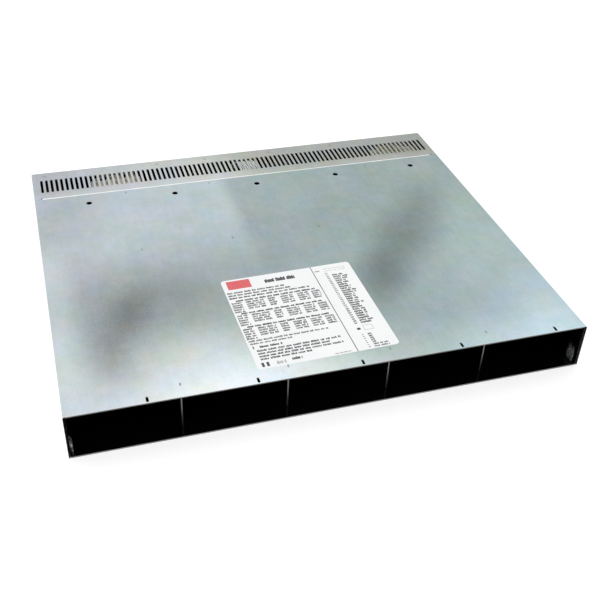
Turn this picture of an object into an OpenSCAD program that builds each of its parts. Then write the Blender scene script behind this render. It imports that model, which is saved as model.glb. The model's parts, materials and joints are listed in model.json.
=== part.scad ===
// Rack power shelf, one rack unit high, with five open module bays.
// X runs across, Y from front to back, Z up. The origin is the centre of the
// underside of the whole part, with the output bars that stand out behind.
// Inside each module, places are counted from the left front bottom corner
// of the folded body, and place() moves them to the origin.

/* [Shell] */
// Depth of the folded body, from its front edge to its rear face
body_d = 380; // [350:1:440]
// Height of the folded body
body_h = 43.6; // [43:0.1:60]
// Sheet thickness of the top cover and the rear cover
cover_t = 1; // [0.8:0.1:1.2]
// Sheet thickness of the base tray
tray_t = 1; // [0.8:0.1:1.2]
// Inner radius of every fold
fold_in = 0.5; // [0.3:0.1:0.8]
// Clearance between two sheets that lie side by side
sheet_gap = 0.1; // [0.05:0.05:0.2]
// Depth of the vented rear cover
rear_cover_d = 55; // [45:1:80]
// Gap at the seam between the top cover and the rear cover
seam_gap = 0.3; // [0.1:0.1:0.6]
// Height of the rear cover's front fold
seam_fold_h = 5; // [3:0.5:5]
// Length of plain edge at each end of the seam, outside the fold
seam_end = 6.8; // [5:0.2:10]
// Width of the relief notch at each end of the fold
notch_w = 1; // [0.6:0.1:1.6]
// Depth of the relief notch
notch_len = 2.6; // [2.2:0.1:4]

/* [Bays] */
// Clear width between two dividers
bay_w = 87; // [85.5:0.1:95]
// Extra width of the first bay, taken up by its entry guide
first_bay_extra = 2; // [1:0.1:3]
// Sheet thickness of the dividers
divider_t = 1; // [0.8:0.1:1.2]
// Distance from the body's front edge to the dividers' front edges
divider_setback = 13.2; // [10:0.2:24]
// Length of a divider's staked tabs
tab_len = 3; // [2:0.5:6]
// Clearance round a staked tab in its slot
tab_gap = 0.1; // [0.05:0.05:0.2]
// Distance from the front edge to the middle tabs
tab_mid_y = 210; // [120:1:240]
// Thickness of the black insulating film
film_t = 0.25; // [0.2:0.05:0.4]
// Distance from the front edge to the film's edge
film_setback = 0.6; // [0.4:0.1:2]
// Length of the latch slots
latch_len = 6; // [4:0.5:8]
// Width of the latch slots
latch_w = 2.2; // [1.2:0.1:2.4]
// Distance from the front edge to the middle of the latch slots
latch_y = 4.2; // [4.2:0.1:9]
// Distance from a latch slot back to the divider on its right
latch_from_divider = 27; // [20:0.5:34]
// Diameter of the round holes at the back of the bays
stop_hole_d = 5.8; // [3:0.1:8]
// Distance from the round holes back to the backplane
stop_from_back = 15; // [12:0.5:32]
// Distance from a round hole back to the divider on its right
stop_from_divider = 38.2; // [28:0.1:42]

/* [Entry guides] */
// Distance from the front edge to the entry guides
guide_y = 4.7; // [3:0.1:6]
// Length of the entry guides
guide_len = 9; // [6:0.5:10]
// Height of the broad foot of an entry guide
guide_foot_h = 9.5; // [7:0.5:12]
// Full height of an entry guide
guide_h = 18; // [14:0.5:22]
// Thickness of the right entry guide's foot
guide_right_t = 1.5; // [0.8:0.1:1.5]
// Thickness of the upper part of both guides
guide_top_t = 0.8; // [0.6:0.1:1]

/* [Vents] */
// Distance between the centres of two vent slots
vent_pitch = 5.08; // [4.5:0.01:6.5]
// Width of a vent slot
vent_w = 2.7; // [2:0.1:3.2]
// Length of a vent slot
vent_len = 25.5; // [18:0.5:28]
// Radius of a vent slot's corners
vent_r = 0.6; // [0.3:0.1:0.9]
// Distance from the rear face to the vent slots
vent_rear = 16; // [12:0.5:18]
// Least distance from a vent slot's centre to the body's side
vent_margin = 8; // [7:0.5:12]

/* [Backplane] */
// Distance from the backplane's front face back to the rear cover
seam_from_board = 3; // [2:0.1:9]
// Thickness of the backplane board
board_t = 1.6; // [1.2:0.1:2.4]
// Height of the backplane board
board_h = 36; // [34:0.5:38]
// Distance from a backplane screw to the right side of its bay
board_screw_inset = 6.5; // [5:0.5:20]
// Clearance between the board and the sheets round it
board_gap = 1.2; // [0.6:0.1:2]
// Width of a bay connector
socket_w = 62; // [50:1:70]
// Height of a bay connector
socket_h = 14; // [10:0.5:16]
// Depth of a bay connector, from its face to the board
socket_d = 11; // [8:0.5:13]
// Height of a bay connector's middle above the tray floor
socket_z = 19.5; // [18:0.5:22]
// Diameter of a bay connector's guide pins
guide_pin_d = 4; // [3:0.5:5]
// Length of a bay connector's guide pins in front of its face
guide_pin_len = 9; // [6:0.5:14]
// Thickness of the bus bars
bar_t = 4; // [3:0.5:5]
// Height of a bus bar's rail along the board
rail_h = 8; // [6:0.5:9]
// Height of the lower rail above the body's underside
rail_low_z = 11.5; // [11.5:0.5:13]
// Height of the upper rail above the body's underside
rail_high_z = 26; // [24:0.5:28]

/* [Outputs] */
// Width of an output bar
output_w = 25; // [20:1:26]
// Length of an output bar behind the body
output_len = 22; // [16:1:30]
// Distance from the body's left side to the middle of the positive bar
output_pos_x = 26; // [24:0.5:28]
// Distance between the middles of the two output bars
output_pitch = 34; // [33:0.5:36]
// Diameter of the bolt hole in an output bar
output_hole_d = 6.6; // [5.5:0.1:8.5]
// Distance from an output bar's end to its bolt hole
output_hole_y = 10; // [8:0.5:14]
// Wall of the insulating sleeve round an output bar
sleeve_wall = 2; // [1.5:0.1:2]
// Distance from a bus bar's rail back to its sleeve
sleeve_from_rail = 8.4; // [4:0.2:22]
// Width of the sleeve's rim on the rear panel
sleeve_rim = 2; // [1.5:0.1:2.2]
// Clearance round parts that pass through the rear panel
panel_fit = 0.2; // [0.1:0.05:0.4]

/* [Rear panel] */
// Sheet thickness of the rear panel
panel_t = 1.2; // [1:0.1:1.5]
// Depth of the rear panel's side and top folds
panel_fold = 9; // [7:0.5:12]
// Distance from the left side to the middle of the first inlet
inlet_first_x = 137; // [134:0.5:139]
// Distance between the middles of two neighbouring inlets
inlet_pitch = 40; // [38.5:0.5:41]
// Distance between the middles of the second and the third inlet
inlet_gap_pitch = 91; // [88:0.5:94]
// Height of the inlets' middle above the body's underside
inlet_z = 21; // [19:0.5:23]
// Width of an inlet's housing
inlet_w = 33; // [32:0.5:34]
// Height of an inlet's housing
inlet_h = 25; // [24:0.5:26]
// Depth of an inlet's housing behind its rim
inlet_d = 27; // [24:0.5:29]
// Width of the rim round an inlet's housing
inlet_rim = 1.8; // [1.2:0.1:2.5]
// Thickness of an inlet's rim
inlet_rim_t = 2.4; // [1.6:0.1:3.5]
// Wall of an inlet's housing
inlet_wall = 2; // [1.6:0.1:2.4]
// Depth of an inlet's open cavity
inlet_cavity = 20; // [16:0.5:22]
// Width of an inlet blade
blade_w = 8; // [7:0.1:8.5]
// Thickness of an inlet blade
blade_t = 2; // [1.6:0.1:2.2]
// Distance between the two power blades
blade_pitch = 13; // [12:0.5:14]
// Height of the earth blade above the power blades
blade_rise = 7; // [6:0.5:8]
// Width of a solder tab behind an inlet
lug_w = 6.3; // [4.8:0.1:6.5]
// Thickness of a solder tab
lug_t = 0.8; // [0.6:0.1:1]
// Length of a solder tab
lug_len = 8; // [5:0.5:9]
// Clearance round a blade in its housing
blade_gap = 0.05; // [0.05:0.01:0.1]
// Width of a signal socket's flange
signal_w = 39; // [37:0.5:41]
// Height of a signal socket's flange
signal_h = 12.5; // [11:0.5:13.5]
// Distance between the middles of the two signal sockets
signal_pitch = 15; // [14:0.5:16]
// Length of a signal socket's insert inside the body
signal_insert_d = 8; // [6:0.5:9]
// Thickness of the signal sockets' flanges
signal_t = 1; // [0.8:0.1:1.2]
// Diameter of the earth stud
earth_d = 5; // [4:0.5:6]
// Length of the earth stud behind the rear panel
earth_len = 13; // [10:0.5:16]
// Height of the earth stud above the body's underside
earth_z = 12; // [11:0.5:13]

/* [Terminal blocks] */
// Length of a terminal block
block_len = 52; // [44:1:54]
// Depth of a terminal block
block_d = 26; // [20:0.5:28]
// Height of a terminal block
block_h = 16; // [12:0.5:16]
// Diameter of the screw wells in a terminal block
well_d = 7; // [6.4:0.1:8]
// Ways in a terminal block
block_ways = 5; // [4:1:6]
// Distance from the left side to the left terminal block
block_left_x = 60; // [58:1:64]
// Distance from the right side to the right terminal block
block_right_x = 15; // [11:0.5:18]
// Distance from the bus bars' rails back to the terminal blocks
block_from_rail = 8.2; // [6:0.2:10]
// Sheet thickness of a terminal block's bracket
bracket_t = 1; // [0.8:0.1:1.2]
// Height of a terminal block's foot above the body's underside
bracket_z = 21.5; // [20:0.5:22]

/* [Inner wires] */
// Diameter of the wires between the terminal blocks and the backplane
feed_wire_d = 2.2; // [1.6:0.1:2.6]
// Diameter of the white signal wires
signal_wire_d = 1.8; // [1.2:0.1:2]
// Diameter of the leads behind the inlets
inlet_lead_d = 2.6; // [2:0.1:3]

/* [Fixings] */
// Diameter of the tapped holes for the rack ears
ear_hole_d = 3.3; // [2.5:0.1:4.2]
// Clearance diameter over those holes in the top cover
ear_clear_d = 4.5; // [4.3:0.1:5.5]
// Distance from the front edge to the first ear holes
ear_y = 24; // [20:1:40]
// Distance between the ear holes from front to back
ear_pitch_y = 28; // [20:1:60]
// Distance between the ear holes from bottom to top
ear_pitch_z = 18; // [12:1:24]
// Diameter of the side screws
screw_d = 3; // [2.5:0.1:3.5]
// Diameter of the side screws' flat heads
screw_head_d = 4.8; // [4.2:0.1:5.4]
// Distance from the rear face to the rear cover's side screws
rear_screw_d = 27.5; // [20:0.5:35]
// Height of the side screws above the body's underside
screw_z = 22; // [18:0.5:28]
// Head height of the backplane's pan-headed screws
pan_head_h = 1.6; // [1.2:0.1:2]

/* [Label] */
// Width of the label
label_w = 123.5; // [80:0.5:140]
// Depth of the label
label_d = 125.5; // [80:0.5:140]
// Radius of the label's corners
label_r = 3.5; // [1:0.5:8]
// Thickness of the label
label_t = 0.12; // [0.1:0.01:0.2]
// Distance from the left side to the label's middle
label_x = 215; // [150:0.1:300]
// Distance from the front edge to the label's middle
label_y = 80; // [75:0.1:200]
// How far the label is turned from square, in degrees
label_turn = 1.5; // [-3:0.1:3]

/* [Hidden] */
$fn = 32;

// Small amount by which a cut runs past a face
past = 1;
bays = 5;

// Across the body
wall = cover_t + sheet_gap + tray_t;
bay_pitch = bay_w + divider_t;
first_bay_w = bay_w + first_bay_extra;
body_w = 2 * wall + first_bay_extra + bays * bay_w + (bays - 1) * divider_t;
function divider_x(i) = wall + first_bay_extra + i * bay_pitch - divider_t;
function bay_left(i) = i == 1 ? wall : divider_x(i - 1) + divider_t;
function bay_width(i) = i == 1 ? first_bay_w : bay_w;

// From front to back
backplane_y = body_d - rear_cover_d - seam_from_board;
cover_d = body_d - rear_cover_d - seam_gap;
stop_hole_y = backplane_y - stop_from_back;
part_d = body_d + output_len;
panel_y = body_d - panel_t;
board_back = backplane_y + board_t;
rail_back = board_back + bar_t;
sleeve_len = body_d - rail_back - sleeve_from_rail;
socket_face = backplane_y - socket_d;
divider_end = backplane_y - board_gap;
tab_ys = [divider_setback + tab_len / 2, tab_mid_y, divider_end - tab_len / 2];

// From bottom to top
cover_lift = 0.2;
roof_z = body_h - cover_t;
bay_h = roof_z - tray_t;
rear_floor = tray_t + film_t;
tray_top = roof_z - fold_in;
board_z = tray_t + board_gap;

fold_out = cover_t + fold_in;
tray_fold = tray_t + fold_in;
panel_fold_r = panel_t + fold_in;

// Vents
vent_count = floor((body_w - 2 * vent_margin) / vent_pitch) + 1;
vent_first = (body_w - (vent_count - 1) * vent_pitch) / 2;

// Rear panel places
inlet_xs = [
    inlet_first_x, inlet_first_x + inlet_pitch,
    inlet_first_x + inlet_pitch + inlet_gap_pitch,
    inlet_first_x + 2 * inlet_pitch + inlet_gap_pitch,
    inlet_first_x + 3 * inlet_pitch + inlet_gap_pitch
];
signal_x = inlet_first_x + inlet_pitch + inlet_gap_pitch / 2;
signal_zs = [inlet_z - signal_pitch / 2, inlet_z + signal_pitch / 2];
output_neg_x = output_pos_x + output_pitch;
block_right_left = body_w - block_right_x - block_len;
earth_x = block_right_left + block_len / 2;
block_y = rail_back + block_from_rail;
side_screw_ys = [70, 180, cover_d - 18];
rear_screw_y = body_d - rear_screw_d;

// Spot-weld dimples near the rear edge, as distances from the left side
weld_xs = [13, 133, 186, 259, 332];
weld_d = 2.4;
weld_deep = 0.15;
weld_rear = 7;

module place() {
    translate([-body_w / 2, -part_d / 2, 0]) children();
}

// Extrudes an outline drawn in X and Z along Y
module run_y(y, len) {
    translate([0, y + len, 0]) rotate([90, 0, 0]) linear_extrude(len) children();
}

// Extrudes an outline drawn in Y and Z along X
module run_x(x, len) {
    translate([x, 0, 0]) rotate([90, 0, 90]) linear_extrude(len) children();
}

// Rectangle from the corner, with all four corners round
module rounded(w, h, r) {
    translate([r, 0]) square([w - 2 * r, h]);
    translate([0, r]) square([w, h - 2 * r]);
    for (x = [r, w - r], y = [r, h - r]) translate([x, y]) circle(r);
}

// Rectangle from the corner, with only its upper corners round
module arch(w, h, r) {
    square([w, h - r]);
    translate([r, 0]) square([w - 2 * r, h]);
    for (x = [r, w - r]) translate([x, h - r]) circle(r);
}

// Folded sheet that is open below
module folded_u(w, h, t) {
    difference() {
        arch(w, h, t + fold_in);
        translate([t, -past]) arch(w - 2 * t, h - t + past, fold_in);
    }
}

// Folded angle with its corner at the origin and legs along X and Y
module folded_angle(a, b, t) {
    r = t + fold_in;
    translate([r, 0]) square([a - r, t]);
    translate([0, r]) square([t, b - r]);
    intersection() {
        square(r);
        translate([r, r]) difference() {
            circle(r);
            circle(fold_in);
        }
    }
}

// Outline in the plane of the rear panel, cut through it
module panel_cut(y, len) {
    translate([0, y, 0]) rotate([90, 0, 0]) translate([0, 0, -len]) linear_extrude(len) children();
}

module centred(w, h) {
    translate([-w / 2, -h / 2]) square([w, h]);
}

// ---- Folded shell ----

module tab_slots(z, t) {
    for (i = [1 : bays - 1], y = tab_ys)
        translate([divider_x(i) - tab_gap, y - tab_len / 2 - tab_gap, z - past])
            cube([divider_t + 2 * tab_gap, tab_len + 2 * tab_gap, t + 2 * past]);
}

// Holes through one side wall for the rack ears
module ear_holes(x, len, d) {
    for (y = [ear_y, ear_y + ear_pitch_y], z = [-1, 1])
        translate([x, y, body_h / 2 + z * ear_pitch_z / 2]) rotate([0, 90, 0])
            cylinder(h = len, d = d);
}

// One flat-headed screw hole through both sheets, from the left
module countersink(y, head_d, shank_d) {
    translate([0, y, screw_z]) rotate([0, 90, 0]) {
        cylinder(h = cover_t, d1 = head_d, d2 = shank_d);
        cylinder(h = wall, d = shank_d);
    }
}

module both_sides() {
    children();
    translate([body_w, 0, 0]) mirror([1, 0, 0]) children();
}

module base_tray() {
    tray_w = body_w - 2 * (cover_t + sheet_gap);
    color("#b9c1c3") place() difference() {
        translate([cover_t + sheet_gap, 0, 0])
            translate([0, 0, tray_top]) mirror([0, 0, 1])
                run_y(0, panel_y - sheet_gap) folded_u(tray_w, tray_top, tray_t);
        tab_slots(0, tray_t);
        both_sides() {
            ear_holes(cover_t, tray_t + 2 * sheet_gap + past, ear_hole_d);
            for (y = concat(side_screw_ys, [rear_screw_y]))
                translate([cover_t, y, screw_z]) rotate([0, 90, 0])
                    cylinder(h = tray_t + 2 * sheet_gap + past, d = screw_d + 2 * sheet_gap);
        }
    }
}

module top_cover() {
    color("#c3ccce") place() difference() {
        translate([0, 0, cover_lift]) run_y(0, cover_d)
            folded_u(body_w, body_h - cover_lift, cover_t);
        tab_slots(roof_z, cover_t);
        for (i = [1 : bays]) {
            right = bay_left(i) + bay_width(i);
            translate([right - latch_from_divider - latch_w / 2, latch_y - latch_len / 2,
                       roof_z - past])
                linear_extrude(cover_t + 2 * past) rounded(latch_w, latch_len, latch_w / 3);
            translate([right - stop_from_divider, stop_hole_y, roof_z - past])
                cylinder(h = cover_t + 2 * past, d = stop_hole_d);
        }
        both_sides() {
            ear_holes(-past, cover_t + 2 * past, ear_clear_d);
            for (y = side_screw_ys)
                countersink(y, screw_head_d + 2 * sheet_gap, screw_d + 2 * sheet_gap);
        }
    }
}

module vent_slots() {
    for (k = [0 : vent_count - 1])
        translate([vent_first + k * vent_pitch - vent_w / 2, body_d - vent_rear - vent_len])
            rounded(vent_w, vent_len, vent_r);
}

module rear_cover() {
    start = body_d - rear_cover_d;
    fold_x = seam_end + notch_w;
    color("#c0c6c6") place() difference() {
        union() {
            difference() {
                translate([0, 0, cover_lift]) run_y(start, rear_cover_d)
                    folded_u(body_w, body_h - cover_lift, cover_t);
                translate([fold_x, start - past, roof_z - past])
                    cube([body_w - 2 * fold_x, fold_out + past, cover_t + 2 * past]);
            }
            run_x(fold_x, body_w - 2 * fold_x)
                translate([start, body_h]) mirror([0, 1])
                    folded_angle(fold_out + past / 2, cover_t + seam_fold_h, cover_t);
        }
        for (x = [seam_end, body_w - seam_end - notch_w])
            translate([x, start - past, roof_z - past])
                cube([notch_w, notch_len + past, cover_t + 2 * past]);
        translate([0, 0, roof_z - past]) linear_extrude(cover_t + 2 * past) vent_slots();
        for (x = weld_xs)
            translate([x, body_d - weld_rear, body_h - weld_deep])
                cylinder(h = past, d = weld_d);
        both_sides() countersink(rear_screw_y, screw_head_d + 2 * sheet_gap,
                                 screw_d + 2 * sheet_gap);
    }
}

// ---- Rear panel and what stands in it ----

module inlet_outline(grow) {
    centred(inlet_w + 2 * grow, inlet_h + 2 * grow);
}

// The D-shaped opening of a signal socket
module signal_outline(grow) {
    w = signal_w - 14;
    h = signal_h - 4.2;
    slant = 1;
    polygon([
        [-w / 2 - grow, h / 2 + grow], [w / 2 + grow, h / 2 + grow],
        [w / 2 - slant + grow, -h / 2 - grow], [-w / 2 + slant - grow, -h / 2 - grow]
    ]);
}

module sleeve_outline(grow) {
    centred(output_w + 2 * (sleeve_wall + panel_fit + grow),
            bar_t + 2 * (sleeve_wall + panel_fit + grow));
}

module panel_openings() {
    for (x = inlet_xs) translate([x, inlet_z]) inlet_outline(panel_fit);
    for (z = signal_zs) translate([signal_x, z]) signal_outline(panel_fit);
    translate([output_pos_x, rail_high_z + bar_t / 2]) sleeve_outline(panel_fit);
    translate([output_neg_x, rail_low_z + bar_t / 2]) sleeve_outline(panel_fit);
}

jack_x = signal_w / 2 - 3;
jack_d = 3;
module round_panel_openings(grow) {
    for (z = signal_zs, s = [-1, 1])
        translate([signal_x + s * jack_x, z]) circle(d = jack_d + 2 * panel_fit + grow);
    translate([earth_x, earth_z]) circle(d = earth_d + 2 * panel_fit + grow);
}

module rear_panel() {
    w = body_w - 2 * (cover_t + sheet_gap);
    inner_w = w - 2 * (tray_t + sheet_gap);
    top = roof_z - sheet_gap;
    color("#b6bdbf") place() difference() {
        union() {
            translate([cover_t + sheet_gap, panel_y, 0]) cube([w, panel_t, top - panel_fold_r]);
            // fold along the top edge, forward under the rear cover
            run_x(cover_t + sheet_gap + panel_fold_r, w - 2 * panel_fold_r)
                translate([body_d, top]) mirror([1, 0]) mirror([0, 1])
                    folded_angle(panel_fold, panel_fold_r + past, panel_t);
            // side folds, forward along the tray walls
            both_sides() translate([wall + sheet_gap, body_d, tray_t + fold_in + 1])
                linear_extrude(top - panel_fold_r - 3 - tray_t - fold_in)
                    mirror([0, 1]) folded_angle(panel_fold, panel_fold, panel_t);
        }
        panel_cut(panel_y - past, panel_t + 2 * past) {
            panel_openings();
            round_panel_openings(0);
        }
    }
}

module rear_film() {
    w = body_w - 2 * (wall + 2 * sheet_gap + panel_t);
    x = (body_w - w) / 2;
    y = board_back + 12;
    top = roof_z - 4 - panel_t;
    color("#15171a") place() difference() {
        union() {
            translate([x, y, tray_t]) cube([w, panel_y - panel_fold - sheet_gap - y, film_t]);
            translate([x + panel_fold, y, tray_t])
                cube([w - 2 * panel_fold, panel_y - y, film_t]);
            translate([x + panel_fold, panel_y - film_t, tray_t])
                cube([w - 2 * panel_fold, film_t, top - tray_t]);
        }
        panel_cut(panel_y - past, past + film_t) {
            panel_openings();
            round_panel_openings(8);
        }
    }
}

module ac_inlet(n) {
    cavity_w = inlet_w - 2 * inlet_wall;
    cavity_h = inlet_h - 2 * inlet_wall;
    snap = 0.6;
    color("#1b1c1f") place() translate([inlet_xs[n - 1], body_d, inlet_z]) difference() {
        union() {
            run_y(0, inlet_rim_t) translate([-inlet_w / 2 - inlet_rim, -inlet_h / 2 - inlet_rim])
                rounded(inlet_w + 2 * inlet_rim, inlet_h + 2 * inlet_rim, 2);
            run_y(-inlet_d, inlet_d) translate([-inlet_w / 2, -inlet_h / 2])
                rounded(inlet_w, inlet_h, 1);
            // snap wedges that hold the housing in the panel
            for (s = [0, 1]) mirror([s, 0, 0])
                translate([inlet_w / 2 - past, -panel_t - film_t - 7, -4]) linear_extrude(8)
                    polygon([[0, 0], [past, 0], [past + snap, 6.8], [0, 6.8]]);
        }
        run_y(inlet_rim_t - inlet_cavity, inlet_cavity + past)
            translate([-cavity_w / 2, -cavity_h / 2]) difference() {
                rounded(cavity_w, cavity_h, 1.5);
                // the keyed corners of the cavity
                for (x = [0, cavity_w]) translate([x, cavity_h]) rotate(45) centred(5, 5);
            }
        for (p = blade_places())
            translate([p[0], 0, p[1]]) {
                run_y(-inlet_d - past, inlet_d) centred(lug_w + 2 * blade_gap,
                                                        lug_t + 2 * blade_gap);
                run_y(inlet_rim_t - inlet_cavity - 3, inlet_cavity)
                    centred(blade_w + 2 * blade_gap, blade_t + 2 * blade_gap);
            }
    }
}

function blade_places() = [
    [-blade_pitch / 2, -blade_rise / 2], [blade_pitch / 2, -blade_rise / 2], [0, blade_rise / 2]
];

module inlet_blades() {
    color("#c9cac6") place() for (x = inlet_xs, p = blade_places())
        translate([x + p[0], body_d, inlet_z + p[1]]) {
            run_y(-inlet_d - lug_len, inlet_d + lug_len - inlet_cavity) centred(lug_w, lug_t);
            run_y(inlet_rim_t - inlet_cavity - 3 + blade_gap, inlet_cavity)
                centred(blade_w, blade_t);
        }
}

module signal_shells() {
    color("#c8c9c4") place() for (z = signal_zs)
        translate([signal_x, body_d, z]) difference() {
            union() {
                run_y(0, signal_t) translate([-signal_w / 2, -signal_h / 2])
                    rounded(signal_w, signal_h, 2);
                run_y(0, 5.5) signal_outline(0);
            }
            run_y(-past, 7 + past) signal_outline(-0.6);
            for (s = [-1, 1]) translate([s * jack_x, -past, 0]) rotate([-90, 0, 0])
                cylinder(h = signal_t + 2 * past, d = jack_d + 0.2);
        }
}

module signal_inserts() {
    pin_pitch = 2.75;
    color("#202226") place() for (z = signal_zs)
        translate([signal_x, body_d, z]) difference() {
            run_y(-signal_insert_d, signal_insert_d + 5.2) signal_outline(-0.7);
            for (k = [-3 : 4]) translate([(k - 0.5) * pin_pitch, 0, 1.4]) rotate([-90, 0, 0])
                cylinder(h = 8, d = 1.1);
            for (k = [-3 : 3]) translate([k * pin_pitch, 0, -1.4]) rotate([-90, 0, 0])
                cylinder(h = 8, d = 1.1);
        }
}

module signal_jackscrews() {
    color("#b9bab4") place() for (z = signal_zs, s = [-1, 1])
        translate([signal_x + s * jack_x, body_d, z]) rotate([-90, 0, 0]) {
            translate([0, 0, signal_t]) difference() {
                cylinder(h = 5, d = 5.2, $fn = 6);
                translate([0, 0, 1]) cylinder(h = 5, d = 2.5);
            }
            translate([0, 0, -panel_t - 3]) cylinder(h = signal_t + panel_t + 3, d = jack_d);
        }
}

module earth_stud() {
    color("#c4c5bf") place() translate([earth_x, panel_y, earth_z]) rotate([-90, 0, 0]) {
        cylinder(h = panel_t + earth_len, d = earth_d);
        translate([0, 0, -2.5]) cylinder(h = 2.5, d = 2 * earth_d);
    }
}

module earth_nut() {
    bore = earth_d + 0.1;
    color("#cfcfc8") place() translate([earth_x, body_d, earth_z]) rotate([-90, 0, 0]) {
        difference() {
            cylinder(h = 1.2, d = 2.4 * earth_d);
            translate([0, 0, -past]) cylinder(h = 1.2 + 2 * past, d = bore);
        }
        translate([0, 0, 1.2]) difference() {
            cylinder(h = 0.8 * earth_d, d = 1.85 * earth_d, $fn = 6);
            translate([0, 0, -past]) cylinder(h = earth_d + 2 * past, d = bore);
        }
    }
}

// ---- Bays ----

module divider(i) {
    color("#aeb6b8") place() run_x(divider_x(i), divider_t) {
        low = tray_t + sheet_gap;
        translate([divider_setback, low])
            square([divider_end - divider_setback, roof_z - sheet_gap - low]);
        for (y = tab_ys) translate([y - tab_len / 2, sheet_gap])
            square([tab_len, body_h - 2 * sheet_gap]);
    }
}

module bay_film(i) {
    left_end = i == 1;
    right_end = i == bays;
    x = bay_left(i) + (left_end ? fold_in : sheet_gap);
    w = bay_left(i) + bay_width(i) - (right_end ? fold_in : sheet_gap) - x;
    z = tray_t + sheet_gap;
    h = bay_h - 2 * sheet_gap;
    end = socket_face - 1;
    right = bay_left(i) + bay_width(i);
    color("#101214") place() difference() {
        union() {
            run_y(film_setback, end - film_setback) difference() {
                translate([x, z]) square([w, h]);
                translate([x + film_t, z + film_t]) square([w - 2 * film_t, h - 2 * film_t]);
            }
            // floor and roof carry on in front of the divider, to the next film
            if (!right_end) for (tongue_z = [z, z + h - film_t])
                translate([x + w - film_t, film_setback, tongue_z])
                    cube([film_t + divider_t + 1.5 * sheet_gap,
                          divider_setback - sheet_gap - film_setback, film_t]);
        }
        // the side walls beside a divider start behind its front edge
        if (!left_end) film_wall_cut(x - past);
        if (!right_end) film_wall_cut(x + w - film_t - past);
        if (left_end) guide_cut(x - past);
        if (right_end) guide_cut(x + w - film_t - past);
        translate([right - latch_from_divider - latch_w / 2, latch_y - latch_len / 2,
                   roof_z - 2 * past])
            cube([latch_w, latch_len, 3 * past]);
        translate([right - stop_from_divider, stop_hole_y, roof_z - 2 * past])
            cylinder(h = 3 * past, d = stop_hole_d);
    }
}

module film_wall_cut(x) {
    translate([x, -past, tray_t + sheet_gap + film_t])
        cube([film_t + 2 * past, divider_setback + past + 0.4,
              bay_h - 2 * sheet_gap - 2 * film_t]);
}

module guide_cut(x) {
    translate([x, guide_y - sheet_gap, tray_t - past])
        cube([film_t + 2 * past, guide_len + 2 * sheet_gap, guide_h + past + 2 * sheet_gap]);
}

// A stepped metal cheek that leads the outermost module in
module entry_guide(foot_t) {
    run_y(guide_y, guide_len) polygon([
        [0, tray_t + fold_in], [foot_t, tray_t + fold_in],
        [foot_t, tray_t + guide_foot_h - 1], [guide_top_t, tray_t + guide_foot_h],
        [guide_top_t, tray_t + guide_h], [0, tray_t + guide_h]
    ]);
}

module entry_guide_left() {
    color("#c9ced0") place() translate([wall, 0, 0]) entry_guide(first_bay_extra);
}

module entry_guide_right() {
    color("#c9ced0") place() translate([body_w - wall, 0, 0]) mirror([1, 0, 0])
        entry_guide(guide_right_t);
}

// ---- Backplane and bus bars ----

board_x = wall + board_gap;
board_w = body_w - 2 * board_x;
board_screw_xs = [for (i = [1 : bays]) bay_left(i) + bay_width(i) - board_screw_inset];
board_screw_z = tray_t + 5.5;
board_screw_d = 2.9;

module backplane() {
    color("#17201c") place() difference() {
        translate([board_x, backplane_y, board_z]) cube([board_w, board_t, board_h]);
        for (x = board_screw_xs)
            translate([x, backplane_y - past, board_screw_z]) rotate([-90, 0, 0])
                cylinder(h = board_t + 2 * past, d = board_screw_d + 0.3);
    }
}

module backplane_angle() {
    leg_h = 8.5;
    leg_d = 9;
    color("#aeb6b8") place() difference() {
        run_x(board_x, board_w) translate([board_back, tray_t]) folded_angle(leg_d, leg_h, tray_t);
        for (x = board_screw_xs)
            translate([x, board_back - past, board_screw_z]) rotate([-90, 0, 0])
                cylinder(h = tray_t + 2 * past, d = board_screw_d + 0.1);
    }
}

module backplane_screws() {
    color("#9da2a3") place() for (x = board_screw_xs)
        translate([x, backplane_y, board_screw_z]) rotate([-90, 0, 0]) {
            cylinder(h = board_t + tray_t + 1.5, d = board_screw_d);
            translate([0, 0, -pan_head_h]) difference() {
                cylinder(h = pan_head_h, d = 2 * board_screw_d);
                translate([-0.5, -2, -past]) cube([1, 4, past + 0.7]);
            }
        }
}

function socket_mid(i) = bay_left(i) + bay_width(i) - bay_w / 2;

// Blind-mating socket: two wide power ways and a signal field between pin bosses
module bay_connector(i) {
    z = tray_t + socket_z;
    boss_d = guide_pin_d + 3;
    way_w = 1.6;
    color("#1d2024") place() translate([socket_mid(i), backplane_y, z]) difference() {
        union() {
            run_y(-socket_d, socket_d) translate([-socket_w / 2, -socket_h / 2])
                rounded(socket_w, socket_h, 1.5);
            for (s = [-1, 1]) translate([s * (socket_w / 2 - 1), -socket_d + 2, 0])
                rotate([-90, 0, 0]) cylinder(h = socket_d - 2, d = boss_d);
        }
        for (s = [-1, 1], k = [0 : 2])
            translate([s * (9 + 6 * k) - way_w / 2, -socket_d - past, 1.5 - socket_h / 2])
                cube([way_w, 7 + past, socket_h - 3]);
        for (k = [-2 : 2], r = [-1, 0, 1])
            translate([k * 2.5 - 0.6, -socket_d - past, r * 3 - 0.6])
                cube([1.2, 5 + past, 1.2]);
        for (s = [-1, 1]) translate([s * (socket_w / 2 - 1), -socket_d - past, 0])
            rotate([-90, 0, 0]) cylinder(h = socket_d + 2 * past, d = guide_pin_d + 2 * blade_gap);
    }
}

module bay_guide_pins() {
    tip = guide_pin_d / 2;
    color("#c9cac6") place() for (i = [1 : bays], s = [-1, 1])
        translate([socket_mid(i) + s * (socket_w / 2 - 1), backplane_y, tray_t + socket_z])
            rotate([90, 0, 0]) {
                cylinder(h = socket_d + guide_pin_len - tip, d = guide_pin_d);
                translate([0, 0, socket_d + guide_pin_len - tip])
                    cylinder(h = tip, d1 = guide_pin_d, d2 = guide_pin_d / 3);
            }
}

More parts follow.
